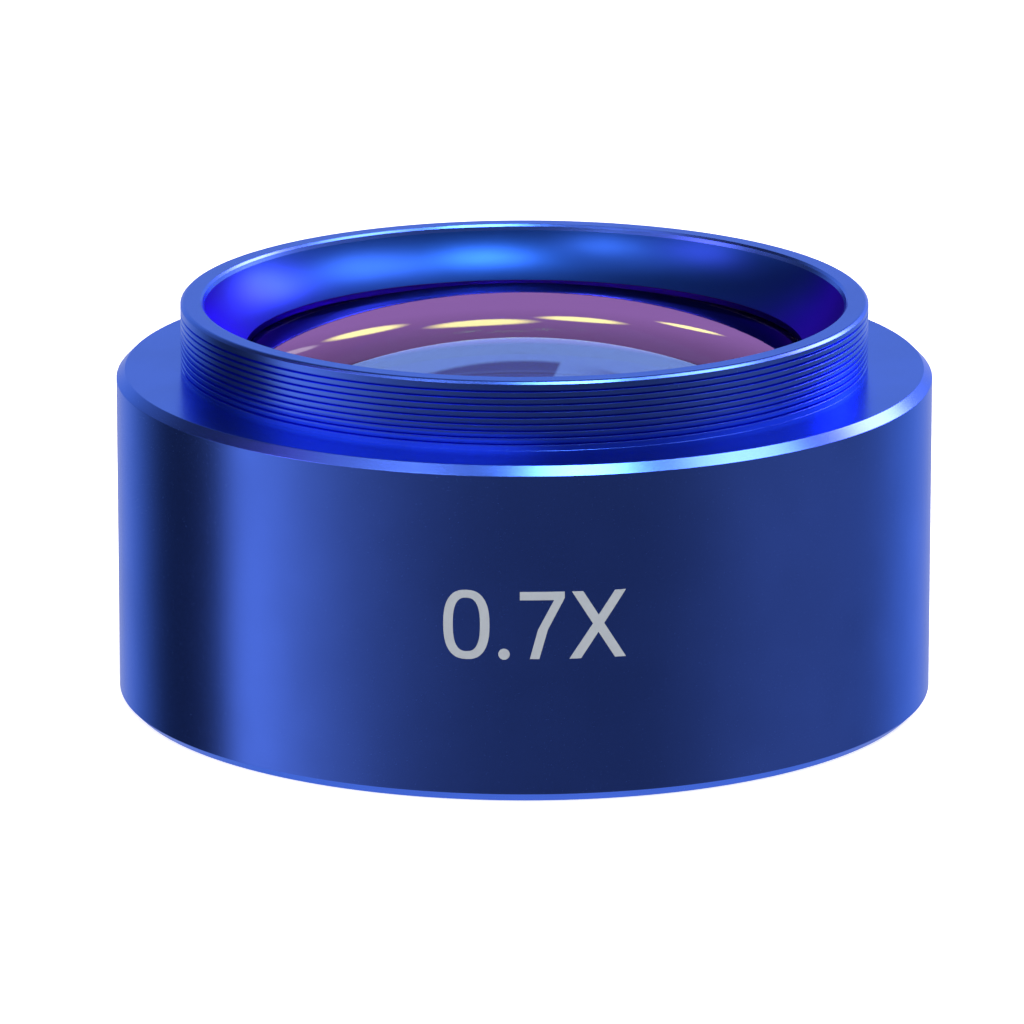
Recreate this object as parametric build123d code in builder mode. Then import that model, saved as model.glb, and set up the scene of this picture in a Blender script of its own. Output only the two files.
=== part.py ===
from build123d import *
import os
from math import sqrt

# Auxiliary objective lens for a stereo microscope, in millimetres.
# It stands on its foot with the threaded collar up. Z is the optical axis and Z = 0 is the foot.
# A turned housing carries a cemented pair of lenses, which goes in from below against a thin lip
# and is held there by a screwed ring.

# Housing, outside
collar_diameter = 48.0          # major diameter of the mounting thread, which sets the widths of the rest
collar_height = 4.8
collar_chamfer = 0.2            # lead-in of the thread
shoulder_width = 4.5            # flat ring round the collar, up to the edge of the body
body_height = 23.4
body_chamfer = 0.6

# Housing, mouth above the lens
collar_wall = 1.55
lip_width = 3.05                # how far the lip stands in from the mouth's edge
lip_land = 0.1                  # flat left on top of the lip
mouth_depth = 3.4               # rim down to the top of the lip
mouth_chamfer = 0.15
bowl_radius = 8.0               # hollow of the wall that slopes from the mouth's edge to the lip
lip_thickness = 0.4

# Housing, hood below the lens
hood_wall = 4.0
hood_chamfer = 0.5
hood_corner_radius = 0.8
thread_tail = 2.0               # thread left free under the retaining ring
thread_runout = 0.4             # thread that runs on above the retaining ring

# Lenses
top_radius = 62.4               # convex, faces the microscope
cement_radius = 110.0
back_radius = 38.0              # concave, faces the specimen
upper_thickness = 3.2           # both thicknesses are taken on the axis
lower_thickness = 2.2
back_flat = 2.4                 # width of the flat ground round the concave face
lens_bevel = 0.25
seat_width = 1.6                # how far the lip covers the edge of the glass

# Retaining ring
ring_height = 3.0
ring_step = 0.95                # thread bore past the lens bore, on the radius
ring_cover = 2.0                # how far the ring covers the edge of the glass
ring_chamfer = 0.4
slot_width = 1.6
slot_depth = 1.2

# Clearances
lens_bore_clearance = 0.05
seat_clearance = 0.02
ring_thread_clearance = 0.05

# Radii, from the collar outwards and inwards
collar_r = collar_diameter / 2
body_r = collar_r + shoulder_width
hood_r = body_r - hood_wall
mouth_r = collar_r - collar_wall
lip_r = mouth_r - lip_width
lens_r = lip_r + seat_width
lens_bore_r = lens_r + lens_bore_clearance
thread_bore_r = lens_bore_r + ring_step
back_r = lens_r - back_flat
ring_r = thread_bore_r - ring_thread_clearance
ring_bore_r = lens_r - ring_cover


def sag(radius, reach):
    """Height that a sphere of this radius loses at this distance from its axis."""
    return radius - sqrt(radius**2 - reach**2)


# Heights, from the rim down
rim_z = body_height + collar_height
lip_top_z = rim_z - mouth_depth
seat_z = lip_top_z - lip_thickness
top_z = seat_z - seat_clearance + sag(top_radius, lip_r)
cement_z = top_z - upper_thickness
back_z = cement_z - lower_thickness
flat_z = back_z - sag(back_radius, back_r)
ring_bottom_z = flat_z - ring_height
thread_top_z = flat_z + thread_runout
hood_top_z = ring_bottom_z - thread_tail


def surface(radius, apex_z, reach):
    """Arc of a spherical surface in section, from its apex on the axis out to the reach."""
    middle = reach / 2
    return ThreePointArc(
        (0, apex_z),
        (middle, apex_z - sag(radius, middle)),
        (reach, apex_z - sag(radius, reach)),
    )


def rim_edge(solid, radius, height):
    """The round edges of a solid that have this radius and lie at this height."""
    circles = solid.edges().filter_by(GeomType.CIRCLE)
    level = circles.filter_by(lambda edge: abs(edge.arc_center.Z - height) < 1e-4)
    return level.filter_by(lambda edge: abs(edge.radius - radius) < 1e-4)


# The housing is turned from one bar, outside and inside.
with BuildPart() as housing:
    with BuildSketch(Plane.XZ):
        with BuildLine():
            bowl = RadiusArc(
                (mouth_r, rim_z - mouth_chamfer), (lip_r + lip_land, lip_top_z), bowl_radius)
            Polyline(
                bowl @ 1,
                (lip_r, lip_top_z),
                (lip_r, seat_z),
                (lens_bore_r, seat_z),
                (lens_bore_r, thread_top_z),
                (thread_bore_r, thread_top_z),
                (thread_bore_r, hood_top_z),
                (hood_r, hood_top_z),
                (hood_r, 0),
                (body_r, 0),
                (body_r, body_height),
                (collar_r, body_height),
                (collar_r, rim_z),
                (mouth_r + mouth_chamfer, rim_z),
                bowl @ 0,
            )
        make_face()
    revolve(axis=Axis.Z)
    chamfer(rim_edge(housing, body_r, 0) + rim_edge(housing, body_r, body_height), body_chamfer)
    chamfer(rim_edge(housing, collar_r, rim_z), collar_chamfer)
    chamfer(rim_edge(housing, hood_r, 0), hood_chamfer)
    fillet(rim_edge(housing, hood_r, hood_top_z), min(hood_corner_radius, 0.9 * (hood_r - thread_bore_r)))

# The upper lens bulges up past the lip, almost to the rim.
with BuildPart() as upper_lens:
    with BuildSketch(Plane.XZ):
        with BuildLine():
            top_arc = surface(top_radius, top_z, lens_r)
            cement_arc = surface(cement_radius, cement_z, lens_r)
            Line(top_arc @ 0, cement_arc @ 0)
            Line(top_arc @ 1, cement_arc @ 1)
        make_face()
    revolve(axis=Axis.Z)
    chamfer(rim_edge(upper_lens, lens_r, top_z - sag(top_radius, lens_r)), lens_bevel)

# The lower lens is cemented to it over the whole face, and has a flat round its hollow side.
with BuildPart() as lower_lens:
    with BuildSketch(Plane.XZ):
        with BuildLine():
            joint_arc = surface(cement_radius, cement_z, lens_r)
            back_arc = surface(back_radius, back_z, back_r)
            Line(joint_arc @ 0, back_arc @ 0)
            Polyline(joint_arc @ 1, (lens_r, flat_z), back_arc @ 1)
        make_face()
    revolve(axis=Axis.Z)
    chamfer(rim_edge(lower_lens, lens_r, flat_z), lens_bevel)

# The retaining ring screws up against that flat with a pin spanner in its two slots.
with BuildPart() as retaining_ring:
    with BuildSketch(Plane.XY.offset(ring_bottom_z)):
        Circle(ring_r)
        Circle(ring_bore_r, mode=Mode.SUBTRACT)
    extrude(amount=ring_height)
    chamfer(rim_edge(retaining_ring, ring_r, ring_bottom_z), ring_chamfer)
    chamfer(rim_edge(retaining_ring, ring_bore_r, ring_bottom_z), ring_chamfer)
    with BuildSketch(Plane.XY.offset(ring_bottom_z)):
        Rectangle(2 * body_r, slot_width)
    extrude(amount=slot_depth, mode=Mode.SUBTRACT)

os.makedirs("parts", exist_ok=True)
housing.part.label = "housing"
upper_lens.part.label = "upper_lens"
lower_lens.part.label = "lower_lens"
retaining_ring.part.label = "retaining_ring"
export_step(housing.part, "parts/housing.step")
export_step(upper_lens.part, "parts/upper_lens.step")
export_step(lower_lens.part, "parts/lower_lens.step")
export_step(retaining_ring.part, "parts/retaining_ring.step")
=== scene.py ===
"""Auxiliary objective lens for a stereo microscope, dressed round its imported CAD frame.

Lengths in this file are millimetres until a mesh is made, and Z is the optical axis. Angles round the
axis are counted anticlockwise from above. Every mesh is a net of points, worked out as whole arrays.
"""
from math import cos, pi, radians, sin, tan

import bmesh
import bpy
import numpy as np
from bpy.props import FloatProperty, FloatVectorProperty, IntProperty, PointerProperty
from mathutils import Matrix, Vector


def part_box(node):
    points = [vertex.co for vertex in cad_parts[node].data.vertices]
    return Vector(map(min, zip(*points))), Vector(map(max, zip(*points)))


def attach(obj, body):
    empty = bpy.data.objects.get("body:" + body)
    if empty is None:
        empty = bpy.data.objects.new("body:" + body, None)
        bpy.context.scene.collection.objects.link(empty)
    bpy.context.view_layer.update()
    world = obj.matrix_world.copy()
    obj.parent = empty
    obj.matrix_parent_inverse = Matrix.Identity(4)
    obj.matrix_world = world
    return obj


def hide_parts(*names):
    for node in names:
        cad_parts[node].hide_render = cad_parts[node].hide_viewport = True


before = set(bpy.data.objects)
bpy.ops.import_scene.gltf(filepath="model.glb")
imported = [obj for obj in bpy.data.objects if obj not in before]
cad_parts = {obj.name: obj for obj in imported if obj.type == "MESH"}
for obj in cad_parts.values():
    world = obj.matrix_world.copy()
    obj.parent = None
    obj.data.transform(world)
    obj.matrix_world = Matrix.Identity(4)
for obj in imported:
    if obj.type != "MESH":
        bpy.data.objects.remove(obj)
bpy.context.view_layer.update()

bl_info = {
    "name": "Auxiliary microscope lens",
    "version": (1, 0, 0),
    "blender": (4, 5, 0),
    "location": "3D View > Sidebar > Auxiliary lens",
    "description": "Turned housing, coated lens pair, slotted ring, engraved figure and a plain studio",
    "category": "Object",
}

MM = 0.001
BODY = "root"
GLASS_IOR = 1.62        # of both lenses, because the cement line doesn't bend the light
FILM_MOST = 0.44

# Sizes that the CAD part has too. The outer ones are read from the frame.
BODY_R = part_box("housing")[1].x / MM
RIM_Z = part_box("housing")[1].z / MM
LENS_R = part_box("upper_lens")[1].x / MM
DOME_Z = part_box("upper_lens")[1].z / MM
FLAT_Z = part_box("lower_lens")[0].z / MM
RING_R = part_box("retaining_ring")[1].x / MM
RING_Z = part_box("retaining_ring")[0].z / MM
COLLAR_R = 24.0
SHOULDER_Z = 23.4
MOUTH_R = 22.45
LIP_R = 19.4
LIP_Z = RIM_Z - 3.4
SEAT_Z = LIP_Z - 0.4
LENS_BORE_R = 21.05
THREAD_BORE_R = 22.0
THREAD_TOP_Z = FLAT_Z + 0.4
HOOD_R = 24.5
HOOD_TOP_Z = RING_Z - 2.0
RING_BORE_R = 19.0
BODY_CHAMFER = 0.6
COLLAR_CHAMFER = 0.2
MOUTH_CHAMFER = 0.15
HOOD_CHAMFER = 0.5
RING_CHAMFER = 0.4
LENS_BEVEL = 0.25
DOME_RADIUS = 62.4
CEMENT_RADIUS = 110.0
BACK_RADIUS = 38.0
BACK_R = 18.6
CEMENT_Z = DOME_Z - 3.2
BACK_Z = CEMENT_Z - 2.2
SLOT_HALF = 0.8
SLOT_TOP_Z = RING_Z + 1.2


class AuxLensSizes(bpy.types.PropertyGroup):
    """Sizes of what the plain solids leave out."""

    steps: IntProperty(
        name="Steps round", description="Columns of each turned net", default=320, min=24, max=720)
    edge: FloatProperty(
        name="Broken edge", description="Radius that every turned edge is broken to",
        default=0.00005, unit="LENGTH", subtype="DISTANCE")
    pitch: FloatProperty(
        name="Collar pitch", description="Distance from one groove of the collar to the next",
        default=0.000457, unit="LENGTH", subtype="DISTANCE")
    groove: FloatProperty(
        name="Groove depth", description="Depth of the collar's grooves",
        default=0.00024, unit="LENGTH", subtype="DISTANCE")
    bore_pitch: FloatProperty(
        name="Bore pitch", description="Pitch of the retaining ring's thread",
        default=0.00075, unit="LENGTH", subtype="DISTANCE")
    bore_groove: FloatProperty(
        name="Bore groove depth", description="Depth of the grooves that the retaining ring runs in",
        default=0.0003, unit="LENGTH", subtype="DISTANCE")
    figure_proud: FloatProperty(
        name="Figure thickness", description="How far the paint of the figure stands off the body",
        default=0.000012, unit="LENGTH", subtype="DISTANCE")


class AuxLensFinish(bpy.types.PropertyGroup):
    """Colours and finishes of the metal, the glass and the paint."""

    anodising: FloatVectorProperty(
        name="Anodising", description="Colour of the anodised aluminium", subtype="COLOR", size=3,
        min=0, max=1, default=(0.083, 0.178, 0.85))
    satin: FloatProperty(
        name="Satin", description="Roughness of the anodised aluminium", subtype="FACTOR",
        min=0, max=1, default=0.25)
    # Darker, deeper blue than the outside anodising: painted shade of the hollow mouth.
    wall: FloatVectorProperty(
        name="Mouth's wall", description="Painted shade, deeper blue on the wall of the mouth", subtype="COLOR", size=3,
        min=0, max=1, default=(0.018, 0.07, 0.40))
    # Near black violet: painted shade under the lip and a painted reflection of the violet glass.
    lip: FloatVectorProperty(
        name="Lip", description="Painted shade on the thin lip over the glass", subtype="COLOR", size=3,
        min=0, max=1, default=(0.02, 0.004, 0.14))
    coating: FloatVectorProperty(
        name="Coating", description="Tint that the anti-reflection film gives to a reflection",
        subtype="COLOR", size=3, min=0, max=1, default=(0.66, 0.31, 1.0))
    # Blue of the lit metal seen through the glass, given to the reflection inside the hollow face: a painted
    # reflection.
    back_painted_reflection: FloatVectorProperty(
        name="Painted back reflection", description="Tint of a reflection inside the hollow face", subtype="COLOR",
        size=3, min=0, max=1, default=(0.17, 0.35, 0.85))
    figure_paint: FloatVectorProperty(
        name="Figure paint", description="Colour of the magnification figure", subtype="COLOR", size=3,
        min=0, max=1, default=(0.40, 0.425, 0.455))


class AuxLensStage(bpy.types.PropertyGroup):
    """Colour and size of the floor."""

    floor_colour: FloatVectorProperty(
        name="Floor", description="Colour of the floor", subtype="COLOR", size=3,
        min=0, max=1, default=(0.8, 0.8, 0.8))
    floor_size: FloatProperty(
        name="Floor size", description="Width of the square floor", default=3.0,
        unit="LENGTH", subtype="DISTANCE")


class Wire:
    """The output of a shader node. A sum, product or power of wires and numbers adds its Math node."""

    def __init__(self, tree, socket):
        self.tree, self.socket = tree, socket

    def math(self, operation, *values, clamp=False):
        settings = {"operation": operation, "use_clamp": clamp}
        return self.tree.add("ShaderNodeMath", settings, dict(enumerate(values)))

    def __add__(self, other):
        return self.math("ADD", self, other)

    def __sub__(self, other):
        return self.math("SUBTRACT", self, other)

    def __rsub__(self, other):
        return self.math("SUBTRACT", other, self)

    def __mul__(self, other):
        return self.math("MULTIPLY", self, other)

    def __truediv__(self, other):
        return self.math("DIVIDE", self, other)

    def __rtruediv__(self, other):
        return self.math("DIVIDE", other, self)

    def __pow__(self, other):
        return self.math("POWER", self, other)

    def __neg__(self):
        return 0 - self

    __radd__ = __add__
    __rmul__ = __mul__


class Tree:
    """The node tree of a material or of the world, emptied first."""

    def __init__(self, owner):
        owner.use_nodes = True
        self.nodes, self.links = owner.node_tree.nodes, owner.node_tree.links
        self.nodes.clear()

    def add(self, kind, settings=None, sockets=None, out=0):
        """Adds a node of that type, sets its settings, then fills its sockets with values or wires."""
        node = self.nodes.new(kind)
        for name, value in (settings or {}).items():
            setattr(node, name, value)
        for key, value in (sockets or {}).items():
            if isinstance(value, Wire):
                self.links.new(value.socket, node.inputs[key])
            else:
                node.inputs[key].default_value = value
        return Wire(self, node.outputs[out]) if node.outputs else None

    def ramp(self, value, low, high, start=0.0, end=1.0):
        """Goes smoothly from start to end while the value goes from low to high, and stays there."""
        return self.add(
            "ShaderNodeMapRange", {"interpolation_type": "SMOOTHSTEP"},
            {"Value": value, "From Min": low, "From Max": high, "To Min": start, "To Max": end})

    def between(self, colour, spread, share):
        """A colour that goes from a little darker to a little lighter as the share goes from 0 to 1."""
        dark, light = ((*(value * scale for value in colour), 1) for scale in (1 - spread, 1 + spread))
        return self.add("ShaderNodeMix", {"data_type": "RGBA"}, {0: share, 6: dark, 7: light}, out=2)

    def finish(self, kind, shader):
        self.add(kind, None, {0: shader})


class Net:
    """Gathers the points and faces of one mesh, in millimetres."""

    def __init__(self):
        self.points, self.faces, self.finishes, self.count = [], [], [], 0

    def place(self, x, y, z):
        """Adds the points of three arrays of one shape, and returns their numbers in that shape."""
        x, y, z = np.broadcast_arrays(x, y, z)
        numbers = self.count + np.arange(x.size).reshape(x.shape)
        self.points.append(np.stack([x.ravel(), y.ravel(), z.ravel()], 1))
        self.count += x.size
        return numbers

    def rings(self, outline, steps):
        """Turns an outline of (radius, height) points round the axis. A point on the axis stays single."""
        angle = np.arange(steps) * 2 * pi / steps
        radius, height = outline[:, :1], outline[:, 1:]
        numbers = self.place(radius * -np.sin(angle), radius * np.cos(angle), height + 0 * angle)
        numbers[outline[:, 0] < 1e-9] = numbers[outline[:, 0] < 1e-9][:, :1]
        return closed(numbers)

    def skin(self, numbers, finish=0):
        """Faces between neighbours of a net. Its rows run up the outline and its columns round the axis."""
        quads = np.stack(
            [numbers[:-1, :-1], numbers[:-1, 1:], numbers[1:, 1:], numbers[1:, :-1]], -1).reshape(-1, 4)
        low, high = quads[:, 0] == quads[:, 1], quads[:, 2] == quads[:, 3]
        faces = [*quads[~low & ~high].tolist(), *quads[low][:, [0, 2, 3]].tolist(),
                 *quads[high][:, :3].tolist()]
        self.face(faces, finish)

    def face(self, faces, finish=0):
        self.faces += faces
        self.finishes += [finish] * len(faces)

    def bare(self, name):
        """The gathered points and faces as an object of the scene, without a finish."""
        mesh = bpy.data.meshes.new(name)
        mesh.from_pydata((np.concatenate(self.points) * MM).tolist(), [], self.faces)
        made = bpy.data.objects.new(name, mesh)
        bpy.context.scene.collection.objects.link(made)
        return made

    def piece(self, name, materials, merge=False, smooth=38):
        """A piece of the object. Edges that turn more than the smooth angle, in degrees, stay sharp."""
        made = self.bare(name)
        mesh = made.data
        mesh.polygons.foreach_set("material_index", self.finishes)
        for material in materials:
            mesh.materials.append(material)
        net = bmesh.new()
        net.from_mesh(mesh)
        if merge:
            bmesh.ops.remove_doubles(net, verts=net.verts, dist=1e-7)
            bmesh.ops.recalc_face_normals(net, faces=net.faces)
        loose = [vertex for vertex in net.verts if not vertex.link_faces]
        bmesh.ops.delete(net, geom=loose, context="VERTS")
        net.to_mesh(mesh)
        net.free()
        mesh.shade_smooth()
        mesh.set_sharp_from_angle(angle=radians(smooth))
        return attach(made, BODY)


def closed(numbers):
    """Repeats the first column of a net behind its last one."""
    return np.concatenate([numbers, numbers[:, :1]], 1)


def sag(radius, reach):
    """Height that a sphere of this radius loses at this distance from its axis."""
    return radius - np.sqrt(radius**2 - reach**2)


def cap(radius, apex, start, end, count=40):
    """Section of a spherical face: even steps in reach, each lower than the apex by the sag there."""
    reach = np.linspace(start, end, count)
    return np.stack([reach, apex - sag(radius, reach)], 1)


def corner(before, at, after, radius, parts):
    """Rounds one corner of an outline.

    The arc is the rational quadratic curve between the two points where it touches the sides. The corner
    is its control point, with the cosine of half the turn as its weight, and that makes it a true arc. One
    more point on each side, an eighth of the way further out, keeps the flat sides flat in the shading.
    """
    before, at, after = map(np.array, (before, at, after))
    come, go = at - before, after - at
    come, go = come / np.linalg.norm(come), go / np.linalg.norm(go)
    half = np.arccos(np.clip(come @ go, -1, 1)) / 2
    reach = radius * np.tan(half)
    start, end = at - come * reach, at + go * reach
    t = np.linspace(0, 1, parts + 1)[:, None]
    weights = (1 - t) ** 2, 2 * t * (1 - t) * np.cos(half), t**2
    arc = (weights[0] * start + weights[1] * at + weights[2] * end) / sum(weights)
    rest = min(0.3 * reach, 0.02)
    return np.concatenate([[start - come * rest], arc, [end + go * rest]])


def outline(corners, edge):
    """Section line through (radius, height, rounding, parts) corners, with its two ends left as they are.

    A corner without its own rounding is broken to the edge radius, in three parts. One with a rounding of
    0 is a plain point.
    """
    places = [(each[0], each[1]) for each in corners]
    rounded = [
        [places[k]] if corners[k][2:] == (0,)
        else corner(places[k - 1], places[k], places[k + 1], *(corners[k][2:] or (edge, 3)))
        for k in range(1, len(corners) - 1)]
    return np.concatenate([[places[0]], *rounded, [places[-1]]])


def mouth_wall(radius=8.0, parts=16):
    """Hollow wall of the mouth: an arc of that radius from under the rim down to the lip."""
    top, low = np.array([MOUTH_R, RIM_Z - MOUTH_CHAMFER]), np.array([LIP_R + 0.1, LIP_Z])
    middle, span = (top + low) / 2, low - top
    out = np.array([-span[1], span[0]]) / np.linalg.norm(span)
    centre = middle - out * np.sqrt(radius**2 - span @ span / 4)
    way = [np.arctan2(*(each - centre)[::-1]) for each in (top, low)]
    angle = np.linspace(*way, parts + 1)[1:-1]
    return [(centre[0] + radius * np.cos(a), centre[1] + radius * np.sin(a), 0) for a in angle]


def groove_rows(shape, depth, turns):
    """Phase in turns and depth of each row of a thread, from one groove's (phase, share) points."""
    phase, share = np.array(shape).T
    rows = (np.arange(turns)[:, None] + phase).ravel()
    return np.append(rows, turns), np.append(np.tile(share * depth, turns), 0.0)


def thread(net, radius, start, pitch, turns, rows, sign, steps):
    """A right-hand thread as one band of rows that climb a pitch in each turn.

    A row's height is the start plus the pitch times its phase plus the share of the turn made so far, and
    its radius is the plain radius plus the sign times its depth. The depth grows over the first turn of
    the groove and fades over its last. Behind the last column the band goes on as its own rows one turn
    up, so the groove is one line from end to end. Returns the net, and how many rows make one turn.
    """
    phase, depth = rows
    each = (len(phase) - 1) // turns
    share = np.arange(steps) / steps
    angle = 2 * pi * share
    climb = phase[:, None] + share
    fade = np.clip((climb - 0.5) / 0.3, 0, 1) * np.clip((turns + 0.5 - climb) / 0.3, 0, 1)
    reach = radius + sign * depth[:, None] * fade * fade * (3 - 2 * fade)
    numbers = net.place(reach * -np.sin(angle), reach * np.cos(angle), start + pitch * climb)
    return numbers, each


def thread_between(net, low, high, radius, start, pitch, turns, rows, sign, steps, flip=False):
    """Fills the wall between a lower and a higher ring with a thread, and closes its two ends."""
    numbers, each = thread(net, radius, start, pitch, turns, rows, sign, steps)

    def wound(faces):
        return [face[::-1] for face in faces] if flip else faces

    def quads(low_left, low_right, high_right, high_left):
        return wound(np.stack([low_left, low_right, high_right, high_left], -1).reshape(-1, 4).tolist())

    net.face(quads(numbers[:-1, :-1], numbers[:-1, 1:], numbers[1:, 1:], numbers[1:, :-1]))
    last, first = numbers[:, -1], numbers[:, 0]
    net.face(quads(last[: -1 - each], first[each:-1], first[each + 1:], last[1: len(last) - each]))
    net.face(quads(low[:-2], low[1:-1], numbers[0, 1:], numbers[0, :-1]))
    net.face(quads(numbers[-1, :-1], numbers[-1, 1:], high[1:-1], high[:-2]))
    start_step = [low[-2], low[-1], *first[: each + 1], last[0]]
    end_step = [first[-1], high[-1], high[-2], *last[::-1][: each + 1]]
    net.face(wound([[int(n) for n in start_step], [int(n) for n in end_step]]))


def material(name, build):
    """A new material. Build adds its nodes and returns its shader."""
    made = bpy.data.materials.new(name)
    tree = Tree(made)
    tree.finish("ShaderNodeOutputMaterial", build(tree))
    return made


def turned_metal(tree, colour, satin, edge_tint=(0.47, 0.59, 0.9)):
    """Satin anodised metal with fine turning rings, a blasted grain and a slightly uneven dye.

    The edge tint holds back the paleness that metal has where it is looked along.
    """
    place = tree.add("ShaderNodeTexCoord", out=3)
    parts = tree.add("ShaderNodeSeparateXYZ", None, {0: place})
    x, y, z = (Wire(tree, parts.socket.node.outputs[k]) for k in range(3))
    reach = (x * x + y * y) ** 0.5
    section = tree.add("ShaderNodeCombineXYZ", None, {0: reach, 2: z})
    rings = tree.add("ShaderNodeTexNoise", None, {"Vector": section, "Scale": 9000.0, "Detail": 3.0})
    grain = tree.add("ShaderNodeTexNoise", None, {"Vector": place, "Scale": 12000.0, "Detail": 2.0})
    cloud = tree.add("ShaderNodeTexNoise", None, {"Vector": place, "Scale": 160.0, "Detail": 2.0})
    dye = tree.between(colour, 0.04, tree.ramp(cloud, 0.3, 0.7))
    bump = tree.add("ShaderNodeBump", None, {
        "Strength": 0.5, "Distance": 0.0000012, "Height": rings * 0.6 + grain * 0.4})
    return tree.add("ShaderNodeBsdfPrincipled", None, {
        "Base Color": dye, "Metallic": 1.0, "Roughness": satin + (grain - 0.5) * 0.1,
        "Specular Tint": (*edge_tint, 1), "Normal": bump})


def polished_glass(tree, ior, tint, gain, base=0.0, inner=0.0):
    """Clear glass that refracts, under a film that gives its reflection a tint.

    From outside, the reflection is the gain times the Fresnel share, plus the base, up to the film's most.
    Where the glass is looked along, its reflection falls to three tenths: painted shade that darkens the far
    edge of the dome under the lip. From inside, the reflection grows with the slant at the inner rate, up to
    nine tenths. It stops where it would be total, because the inked edge of the lens takes that light.
    """
    clear = tree.add("ShaderNodeBsdfRefraction", None, {"Color": (1, 1, 1, 1), "Roughness": 0.0, "IOR": ior})
    film = tree.add("ShaderNodeBsdfAnisotropic", None, {"Color": (*tint, 1), "Roughness": 0.0})
    share = tree.add("ShaderNodeFresnel", None, {"IOR": ior})
    slant = tree.add("ShaderNodeLayerWeight", None, {"Blend": 0.5}, 1)
    # At a slant the reflection falls to three tenths: painted shade, meant for the dome's far edge under the
    # lip.
    outside = share.math("MINIMUM", share * gain + base, FILM_MOST) * tree.ramp(slant, 0.855, 0.88, 1, 0.3)
    inside = share.math("MINIMUM", slant * inner, 0.9) * tree.ramp(share, 0.9, 0.99, 1, 0.03)
    behind = tree.add("ShaderNodeNewGeometry", out=6)
    kept = outside * (1 - behind) + inside * behind
    return tree.add("ShaderNodeMixShader", None, {0: kept, 1: clear, 2: film})


def cemented(tree):
    """The cement line, where glass meets glass and nothing is seen."""
    return tree.add("ShaderNodeBsdfPrincipled", None, {"Alpha": 0.0})


def inked_edge(tree):
    """Ground rim of a lens under black ink, which takes the stray light inside the glass."""
    place = tree.add("ShaderNodeTexCoord", out=3)
    grain = tree.add("ShaderNodeTexNoise", None, {"Vector": place, "Scale": 6000.0, "Detail": 2.0})
    tone = tree.add(
        "ShaderNodeMix", {"data_type": "RGBA"},
        {0: grain, 6: (0.01, 0.01, 0.016, 1), 7: (0.022, 0.022, 0.03, 1)}, out=2)
    return tree.add("ShaderNodeBsdfPrincipled", None, {"Base Color": tone, "Roughness": 0.6})


def figure_paint(tree, colour):
    """Matt printed paint with a fine tooth."""
    place = tree.add("ShaderNodeTexCoord", out=3)
    grain = tree.add("ShaderNodeTexNoise", None, {"Vector": place, "Scale": 9000.0, "Detail": 2.0})
    tone = tree.between(colour, 0.05, grain)
    bump = tree.add("ShaderNodeBump", None, {"Strength": 0.4, "Distance": 0.000002, "Height": grain})
    return tree.add("ShaderNodeBsdfPrincipled", None, {
        "Base Color": tone, "Roughness": 0.5, "Normal": bump})


class AUXLENS_OT_stage(bpy.types.Operator):
    """Camera, floor, lamps and the white tent round the object"""

    bl_idname = "auxlens.stage"
    bl_label = "Studio"

    def execute(self, context):
        stage = context.scene.auxlens_stage
        context.scene.view_settings.view_transform = "Standard"
        add_camera(context)
        add_floor(stage)
        add_light_pad()
        add_world(context.scene)
        for each in LAMPS:
            lamp(*each)
        lamp(*FILL).visible_glossy = False
        glass = bpy.data.collections.new("glass")
        for each in WINDOWS:
            window = lamp(*each)
            window.light_linking.receiver_collection = glass
            soften(window.data)
        return {"FINISHED"}


def add_camera(context):
    data = bpy.data.cameras.new("camera")
    data.lens, data.sensor_width = 319.1, 36.0
    data.clip_start, data.clip_end = 0.05, 20.0
    camera = bpy.data.objects.new("camera", data)
    camera.location = (-0.000863, -0.6155, 0.1776)
    camera.rotation_euler = (radians(75.004), 0, 0)
    context.scene.collection.objects.link(camera)
    context.scene.camera = camera


def add_floor(stage):
    """A square floor. The camera sees it as white where no shadow falls on it."""
    half = stage.floor_size / 2 / MM
    net = Net()
    line = np.linspace(-half, half, 9)
    net.skin(net.place(line[None, :], line[:, None], 0.0))
    floor = net.bare("floor")

    def build(tree):
        pale = tree.add("ShaderNodeBsdfDiffuse", None, {"Color": (*stage.floor_colour, 1)})
        seen = tree.add("ShaderNodeLightPath")
        glow = tree.add("ShaderNodeEmission", None, {"Color": (1, 1, 1, 1), "Strength": seen * FLOOR_GLOW})
        return tree.add("ShaderNodeAddShader", None, {0: pale, 1: glow})

    floor.data.materials.append(material("floor_paper", build))
    floor.visible_glossy = False


def add_light_pad():
    """A white disc that lies in the hood, just over the floor, and lights the glass from below."""
    net = Net()
    net.skin(net.rings(np.array([(0.0, PAD_Z), (HOOD_R - 0.2, PAD_Z)]), 64)[::-1])
    pad = net.bare("light_pad")
    pad.data.materials.append(material("light_pad", lambda tree: tree.add(
        "ShaderNodeEmission", None, {"Color": (1, 1, 1, 1), "Strength": 1.0})))


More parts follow.
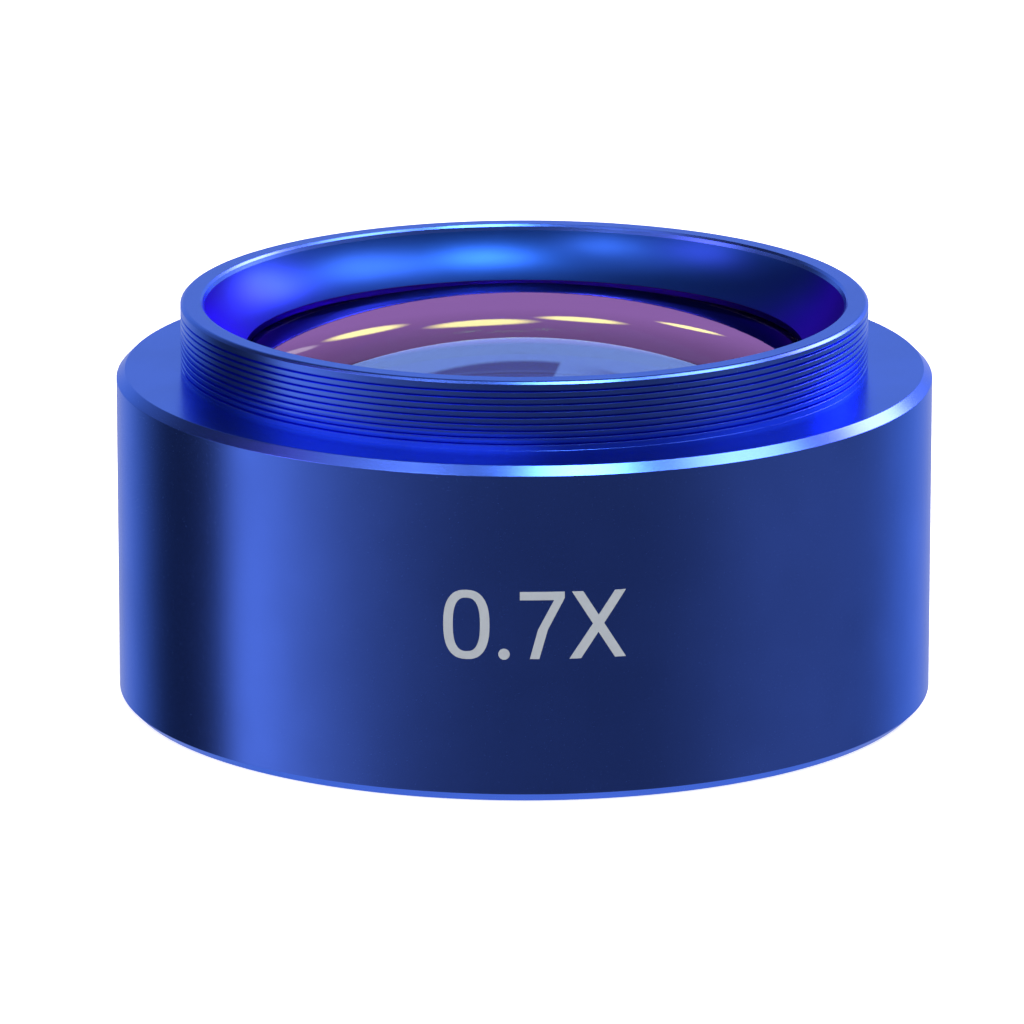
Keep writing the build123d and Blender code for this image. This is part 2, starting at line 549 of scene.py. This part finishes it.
def add_world(scene):
    """A pale tent. Its light depends on the way a ray goes: its turn from the front and its height z.

    Behind it is bright up to a height of 0.48 and dimmer above that. On the left it is bright beyond a dark
    gap and fades towards the front, and on the right it is dim. Low in front a band glows, which shoulder
    and collar hand on to each other. Straight down is bright. The camera sees plain white, and so do rays
    that come through the glass, unless they go high.
    """
    world = bpy.data.worlds.new("tent")
    scene.world = world
    tree = Tree(world)
    way = tree.add("ShaderNodeTexCoord")
    parts = tree.add("ShaderNodeSeparateXYZ", None, {0: way}).socket.node
    x, y, z = (Wire(tree, parts.outputs[k]) for k in range(3))
    turn = x.math("ARCTAN2", x, -y) * (180 / pi)
    back = tree.ramp(turn, -120, -155) + tree.ramp(turn, 108, 152)
    behind = tree.ramp(z, 0.26, 0.5, 1.05, 0.75) - tree.ramp(z, 0.465, 0.49, 0.0, 0.45)
    left = tree.ramp(turn, -97, -84) * x.math("POWER", x.math("MAXIMUM", (10 - turn) / 93, 0.0), 3.0)
    left = left * tree.ramp(turn, 8, 10, 1, 0)
    right = tree.ramp(turn, 30, 80) * 0.19
    base = tree.ramp(turn, -97, -84, 0.05, 0.13)
    around = (base + right + left * 1.05) * (1 - back) + back * behind
    band = tree.ramp(z, 0.1, 0.2) * tree.ramp(z, 0.36, 0.44, 1, 0) * (1 - back)
    glow = tree.ramp(turn, -125, -60, 0.1, 1.8) - tree.ramp(turn, -10, 12, 0, 1.45)
    glow = glow + tree.ramp(turn, 30, 110, 0, 1.3)
    around = around * (1 - band) + glow * band
    below = tree.ramp(z, -0.5, -0.7)
    level = (around * (1 - below) + below) * TENT_LEVEL
    seen = tree.add("ShaderNodeLightPath")
    through = Wire(tree, seen.socket.node.outputs["Is Transmission Ray"])
    high = tree.ramp(z, 0.66, 0.69) * (1 - tree.ramp(turn, 150, 172) * tree.ramp(turn, 172, 173, 1, 0))
    plain = x.math("MAXIMUM", seen, through * (1 - high))
    strength = plain + level * (1 - plain)
    tree.finish("ShaderNodeOutputWorld", tree.add(
        "ShaderNodeBackground", None, {"Color": (1, 1, 1, 1), "Strength": strength}))


TENT_LEVEL = 0.82
FLOOR_GLOW = 0.75       # what the camera sees on top of the floor's own light, up to white
PAD_Z = 0.02
WHITE = (1.0, 1.0, 1.0)
VIOLET = (1.0, 0.4, 1.0)
STRAW = (0.5, 1.0, 0.06)
# Name, distance, azimuth from the front, elevation, width and height in degrees, level, colour
LAMPS = (
    ("overhead", 0.6, 35, 73, 17, 17, 17, (0.75, 1.0, 1.0)),
    ("overhead_right", 0.6, 95, 55, 24, 24, 6, WHITE),
    ("back_right", 0.6, 131, 29, 22, 22, 12, (1.0, 0.6, 1.0)),
    ("overhead_left", 0.6, -42, 56, 15, 15, 7, WHITE),
    ("left", 0.6, -82, 41, 18, 18, 3, VIOLET),
)
# The same of the lamp that lights only paint and paper
FILL = ("fill", 0.6, 0, 35, 60, 60, 1.2, WHITE)
# The same of the far windows, which only the glass shows
WINDOWS = (
    ("window_1", 3.0, -169.3, 18.2, 2.6, 2.6, 1.5, (0.5, 1.0, 0.3)),
    ("window_2", 3.0, -172.9, 17.6, 4.2, 3.4, 6, STRAW),
    ("window_3", 3.0, -178.0, 20.4, 5.8, 3.4, 6, STRAW),
    ("window_4", 3.0, 177.3, 18.5, 4.5, 2.7, 6, STRAW),
    ("window_5", 3.0, 173.0, 15.0, 3.2, 1.9, 6, STRAW),
)


def lamp(name, reach, azimuth, elevation, width, height, level, colour):
    """An oval lamp that looks at the object. A white card of level 1 has level 1."""
    turn, rise = radians(azimuth), radians(elevation)
    way = Vector((sin(turn) * cos(rise), -cos(turn) * cos(rise), sin(rise)))
    data = bpy.data.lights.new(name, "AREA")
    data.shape = "ELLIPSE"
    data.size, data.size_y = (2 * reach * tan(radians(angle / 2)) for angle in (width, height))
    data.energy, data.color = level * pi * pi * data.size * data.size_y / 4, colour
    made = bpy.data.objects.new(name, data)
    made.location = way * reach + Vector((0, 0, RIM_Z * MM))
    made.rotation_euler = way.to_track_quat("Z", "Y").to_euler()
    bpy.context.scene.collection.objects.link(made)
    return made


def soften(light):
    """Lets a lamp fade from its middle to its edge, as a window behind a blind does."""
    tree = Tree(light)
    across = tree.add("ShaderNodeNewGeometry", out=5)
    out = tree.add("ShaderNodeVectorMath", {"operation": "DISTANCE"}, {0: across, 1: (0.5, 0.5, 0.0)}, 1)
    glow = tree.add("ShaderNodeEmission", None, {"Strength": tree.ramp(out, 0.25, 0.5, 1.3, 0)})
    tree.finish("ShaderNodeOutputLight", glow)


# One groove of each thread: (share of the pitch, share of the depth)
COLLAR_TURNS = 9
COLLAR_CUT = [(0, 0), (0.25, 0), (0.285, 0.01), (0.32, 0.10), (0.46, 1), (0.54, 1), (0.68, 0.10),
              (0.715, 0.01), (0.75, 0)]
BORE_TURNS = 5
BORE_CUT = [(0, 0), (0.12, 0), (0.16, 0.1), (0.45, 1), (0.55, 1), (0.84, 0.1), (0.88, 0)]


class AUXLENS_OT_housing(bpy.types.Operator):
    """Housing turned in one piece, with its mounting thread, mouth, lens bore, ring thread and hood"""

    bl_idname = "auxlens.housing"
    bl_label = "Housing"

    def execute(self, context):
        sizes, looks = context.scene.auxlens_sizes, context.scene.auxlens_finish
        edge, steps = sizes.edge / MM, sizes.steps
        net = Net()
        inside = outline([
            (COLLAR_R, RIM_Z - COLLAR_CHAMFER - 0.015), (COLLAR_R, RIM_Z - COLLAR_CHAMFER, 0.025, 3),
            (COLLAR_R - COLLAR_CHAMFER, RIM_Z, 0.25, 6), (MOUTH_R + MOUTH_CHAMFER, RIM_Z, 0.03, 3),
            (MOUTH_R, RIM_Z - MOUTH_CHAMFER, 0.03, 3), *mouth_wall(),
            (LIP_R + 0.1, LIP_Z, 0.02, 2), (LIP_R, LIP_Z, 0.03, 3), (LIP_R, SEAT_Z),
            (LENS_BORE_R, SEAT_Z), (LENS_BORE_R, THREAD_TOP_Z + 0.2),
            (THREAD_BORE_R, THREAD_TOP_Z), (THREAD_BORE_R, THREAD_TOP_Z - 0.1)], edge)
        outside = outline([
            (THREAD_BORE_R, HOOD_TOP_Z + 0.25), (THREAD_BORE_R, HOOD_TOP_Z), (HOOD_R, HOOD_TOP_Z, 0.8, 6),
            (HOOD_R, HOOD_CHAMFER), (HOOD_R + HOOD_CHAMFER, 0.0), (BODY_R - BODY_CHAMFER, 0.0),
            (BODY_R, BODY_CHAMFER), (BODY_R, SHOULDER_Z - BODY_CHAMFER),
            (BODY_R - BODY_CHAMFER, SHOULDER_Z), (COLLAR_R, SHOULDER_Z, 0.004, 1),
            (COLLAR_R, SHOULDER_Z + 0.012)], edge)
        inner, outer = net.rings(inside, steps), net.rings(outside, steps)
        height = inside[:, 1]
        wall_rows = np.flatnonzero((height > LIP_Z + 0.001) & (inside[:, 0] < MOUTH_R - 0.02))
        lip_end = np.flatnonzero((height > SEAT_Z + 0.001) & (height < LIP_Z + 0.002))[-1]
        wall_start, wall_end = wall_rows[0], wall_rows[-1]
        net.skin(inner[:wall_start + 1])
        net.skin(inner[wall_start:wall_end + 1], 1)
        net.skin(inner[wall_end:lip_end + 1], 2)
        net.skin(inner[lip_end:])
        net.skin(outer)
        rows = groove_rows(COLLAR_CUT, sizes.groove / MM, COLLAR_TURNS)
        thread_between(
            net, outer[-1], inner[0], COLLAR_R, SHOULDER_Z + 0.013, sizes.pitch / MM, COLLAR_TURNS, rows, -1,
            steps)
        rows = groove_rows(BORE_CUT, sizes.bore_groove / MM, BORE_TURNS)
        thread_between(
            net, outer[0], inner[-1], THREAD_BORE_R, HOOD_TOP_Z + 0.3, sizes.bore_pitch / MM, BORE_TURNS,
            rows, 1, steps, flip=True)
        metal = material("blue_anodising", lambda tree: turned_metal(tree, looks.anodising, looks.satin))
        # The wall's darker blue is painted shade of the hollow mouth, and its violet edge tint is a painted
        # reflection of the coated glass.
        wall = material("mouth_wall_painted_shade", lambda tree: turned_metal(
            tree, looks.wall, 0.34, (0.5, 0.0, 1.0)))
        # The lip's near black violet and its dark violet edge tint are painted shade under the lip and a
        # painted reflection of the coated glass.
        lip = material("lip_painted_shade", lambda tree: turned_metal(tree, looks.lip, 0.4, (0.12, 0.03, 0.3)))
        shell = net.piece("housing_shell", [metal, wall, lip])
        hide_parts("housing")
        return {"FINISHED"}


class AUXLENS_OT_lenses(bpy.types.Operator):
    """Cemented lens pair, with a coated convex top and a hollow underside"""

    bl_idname = "auxlens.lenses"
    bl_label = "Lens pair"

    def execute(self, context):
        sizes, looks = context.scene.auxlens_sizes, context.scene.auxlens_finish
        coated = material(
            "coated_flint", lambda tree: polished_glass(tree, GLASS_IOR, looks.coating, 1.2, 0.08))
        # The strong blue inner reflection of the crown glass is a painted reflection of the lit metal seen
        # through it.
        crown = material(
            "crown_glass", lambda tree: polished_glass(tree, GLASS_IOR, looks.back_painted_reflection, 0.3, inner=4.5))
        cement = material("cement_line", cemented)
        ink = material("inked_edge", inked_edge)
        join = cap(CEMENT_RADIUS, CEMENT_Z, 0, LENS_R, 24)
        dome_edge = DOME_Z - sag(DOME_RADIUS, LENS_R - LENS_BEVEL)
        dome = cap(DOME_RADIUS, DOME_Z, LENS_R - LENS_BEVEL, 0, 60)
        side = np.array([join[-1], (LENS_R, dome_edge - LENS_BEVEL), dome[0]])
        self.turn("upper_lens_glass", "upper_lens", "coated_glass", sizes.steps,
                  [(join, 1), (side, 2), (dome, 0)], [coated, cement, ink])
        hollow = cap(BACK_RADIUS, BACK_Z, 0, BACK_R, 50)
        rim = np.array([
            (BACK_R, FLAT_Z), (LENS_R - LENS_BEVEL, FLAT_Z), (LENS_R, FLAT_Z + LENS_BEVEL), join[-1]])
        self.turn("lower_lens_glass", "lower_lens", "crown_glass", sizes.steps,
                  [(hollow, 0), (rim, 2), (join[::-1], 1)], [crown, cement, ink])
        return {"FINISHED"}

    def turn(self, name, node, slot, steps, parts, materials):
        """One closed lens from the sections of its faces, each with the number of its material."""
        net = Net()
        for section, finish in parts:
            net.skin(net.rings(section, steps), finish)
        glass = net.piece(name, materials, merge=True)
        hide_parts(node)
        bpy.data.collections["glass"].objects.link(glass)


class AUXLENS_OT_ring(bpy.types.Operator):
    """Retaining ring under the lens pair, with two spanner slots"""

    bl_idname = "auxlens.ring"
    bl_label = "Retaining ring"

    def execute(self, context):
        sizes, looks = context.scene.auxlens_sizes, context.scene.auxlens_finish
        net = Net()
        edge = sizes.edge / MM
        middle = (RING_BORE_R + RING_R) / 2
        section = outline([
            (middle, RING_Z), (RING_R - RING_CHAMFER, RING_Z), (RING_R, RING_Z + RING_CHAMFER),
            (RING_R, FLAT_Z), (RING_BORE_R, FLAT_Z), (RING_BORE_R, RING_Z + RING_CHAMFER),
            (RING_BORE_R + RING_CHAMFER, RING_Z), (middle, RING_Z)], edge)
        cut = np.flatnonzero(np.diff(np.sign(section[:, 1] - SLOT_TOP_Z)))
        level = [(section[k, 0], SLOT_TOP_Z) for k in cut]
        section = np.insert(section, cut + 1, level, 0)
        s, t = np.linspace(-1, 1, 5), np.linspace(0, 1, sizes.steps // 2)
        base = np.concatenate([0 * s, pi * t, 0 * s + pi, pi + pi * t])
        lean = np.concatenate([s, 1 - 2 * t, s, 1 - 2 * t])
        slotted = np.concatenate([s < 2, t > 2, s < 2, t > 2])
        radius, height = section[:, :1], section[:, 1:]
        angle = base + lean * np.arcsin(SLOT_HALF / radius)
        height = np.where(slotted, np.maximum(height, SLOT_TOP_Z), height)
        numbers = net.place(radius * np.cos(angle), radius * np.sin(angle), height)
        net.skin(closed(numbers))
        metal = material("ring_anodising", lambda tree: turned_metal(tree, looks.anodising, looks.satin))
        ring = net.piece("slotted_ring", [metal], merge=True)
        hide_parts("retaining_ring")
        return {"FINISHED"}


def blend_grid(one, other, across, along):
    """Grid between two lines of as many points, each span of which is cut into along parts."""
    one, other = np.array(one, float), np.array(other, float)
    at = np.linspace(0, len(one) - 1, (len(one) - 1) * along + 1)
    known = np.arange(len(one))
    lines = [np.stack([np.interp(at, known, line[:, 0]), np.interp(at, known, line[:, 1])], 1)
             for line in (one, other)]
    share = np.linspace(0, 1, across + 1)[:, None, None]
    return lines[0] * (1 - share) + lines[1] * share


def oval(centre, size, power, count=48):
    """Closed superellipse about its centre.

    Cosine and sine, each raised to 2 / power with its sign kept, times the two half sizes.
    """
    angle = np.linspace(0, 2 * pi, count + 1)
    shape = np.stack([np.cos(angle), np.sin(angle)], 1)
    return np.array(centre) + np.sign(shape) * np.abs(shape) ** (2 / power) * np.array(size)


def crossing(a, b, c, d):
    """Where the line through a and b meets the line through c and d."""
    a, b, c, d = (np.array(p, float) for p in (a, b, c, d))
    share = np.linalg.solve(np.stack([b - a, c - d], 1), c - a)[0]
    return a + (b - a) * share


def figure_grids():
    """The magnification figure laid flat: grids of (distance to the right of the front line, height)."""
    nought = blend_grid(
        oval((-3.945, 12.47), (0.925, 1.87), 2.6), oval((-3.95, 12.465), (1.57, 2.415), 2.5), 2, 1)
    point = blend_grid(oval((-1.40, 10.45), (0, 0), 2), oval((-1.40, 10.45), (0.385, 0.385), 2), 2, 1)
    seven_top = [
        (-0.336, 14.80), (2.3, 14.80), (2.683, 14.80), (2.683, 14.36), (1.546, 12.16), (0.975, 10.12)]
    seven_low = [
        (-0.336, 14.22), (1.95, 14.22), (1.96, 14.21), (1.96, 14.20), (0.887, 12.16), (0.336, 10.12)]
    seven = blend_grid(seven_low, seven_top, 2, 5)
    tl, tr = [(3.168, 14.79), (3.933, 14.79)], [(6.113, 14.79), (6.860, 14.79)]
    fl, fr = [(3.005, 10.11), (3.798, 10.11)], [(6.112, 10.11), (6.874, 10.11)]
    top = crossing(tl[1], fr[1], tr[0], fl[0])
    left = crossing(tl[0], fr[0], tr[0], fl[0])
    low = crossing(tl[0], fr[0], tr[1], fl[1])
    right = crossing(tl[1], fr[1], tr[1], fl[1])
    arms = [
        (tl[1], top, tl[0], left), (tr[1], right, tr[0], top), (fl[0], left, fl[1], low),
        (fr[0], low, fr[1], right)]
    first, last = (lambda grid: grid[0]), (lambda grid: grid[-1, ::-1])
    left_end, right_end = (lambda grid: grid[::-1, 0]), (lambda grid: grid[:, -1])
    arms = [(blend_grid([a, b], [c, d], 3, 6), [first, last, left_end]) for a, b, c, d in arms]
    middle = blend_grid([left, low], [top, right], 3, 3)
    return [(nought, [first, last]), (point, [last]), (seven, [first, last, left_end, right_end]), *arms,
            (middle, [])]


class AUXLENS_OT_figure(bpy.types.Operator):
    """Magnification figure on the front of the body"""

    bl_idname = "auxlens.figure"
    bl_label = "Magnification figure"

    def execute(self, context):
        sizes, looks = context.scene.auxlens_sizes, context.scene.auxlens_finish
        net = Net()
        for grid, rim in figure_grids():
            angle = grid[..., 0] / BODY_R
            faces = [net.place(reach * np.sin(angle), -reach * np.cos(angle), grid[..., 1])
                     for reach in (BODY_R - 0.01, BODY_R + sizes.figure_proud / MM)]
            net.skin(faces[0][::-1])
            net.skin(faces[1])
            for side in rim:
                net.skin(np.stack([side(faces[0]), side(faces[1])]))
        paint = material("figure_paint", lambda tree: figure_paint(tree, looks.figure_paint))
        net.piece("magnification_figure", [paint], merge=True)
        return {"FINISHED"}


class AUXLENS_PT_pieces(bpy.types.Panel):
    """Lists what makes the lens and its studio"""

    bl_idname = "AUXLENS_PT_pieces"
    bl_label = "Auxiliary lens"
    bl_space_type = "VIEW_3D"
    bl_region_type = "UI"
    bl_category = "Auxiliary lens"

    def draw(self, context):
        for each in OPERATORS:
            self.layout.operator(each.bl_idname)
        for group in ("auxlens_sizes", "auxlens_finish", "auxlens_stage"):
            box = self.layout.box()
            values = getattr(context.scene, group)
            for name in values.__annotations__:
                box.prop(values, name)


OPERATORS = (
    AUXLENS_OT_stage, AUXLENS_OT_housing, AUXLENS_OT_lenses, AUXLENS_OT_ring, AUXLENS_OT_figure)
GROUPS = {"auxlens_sizes": AuxLensSizes, "auxlens_finish": AuxLensFinish, "auxlens_stage": AuxLensStage}


def register():
    for each in (*GROUPS.values(), *OPERATORS, AUXLENS_PT_pieces):
        bpy.utils.register_class(each)
    for name, group in GROUPS.items():
        setattr(bpy.types.Scene, name, PointerProperty(type=group))


def unregister():
    for name in GROUPS:
        delattr(bpy.types.Scene, name)
    for each in reversed((*GROUPS.values(), *OPERATORS, AUXLENS_PT_pieces)):
        bpy.utils.unregister_class(each)


def main():
    register()
    bpy.ops.auxlens.stage()
    bpy.ops.auxlens.housing()
    bpy.ops.auxlens.lenses()
    bpy.ops.auxlens.ring()
    bpy.ops.auxlens.figure()


if __name__ == "__main__":
    main()
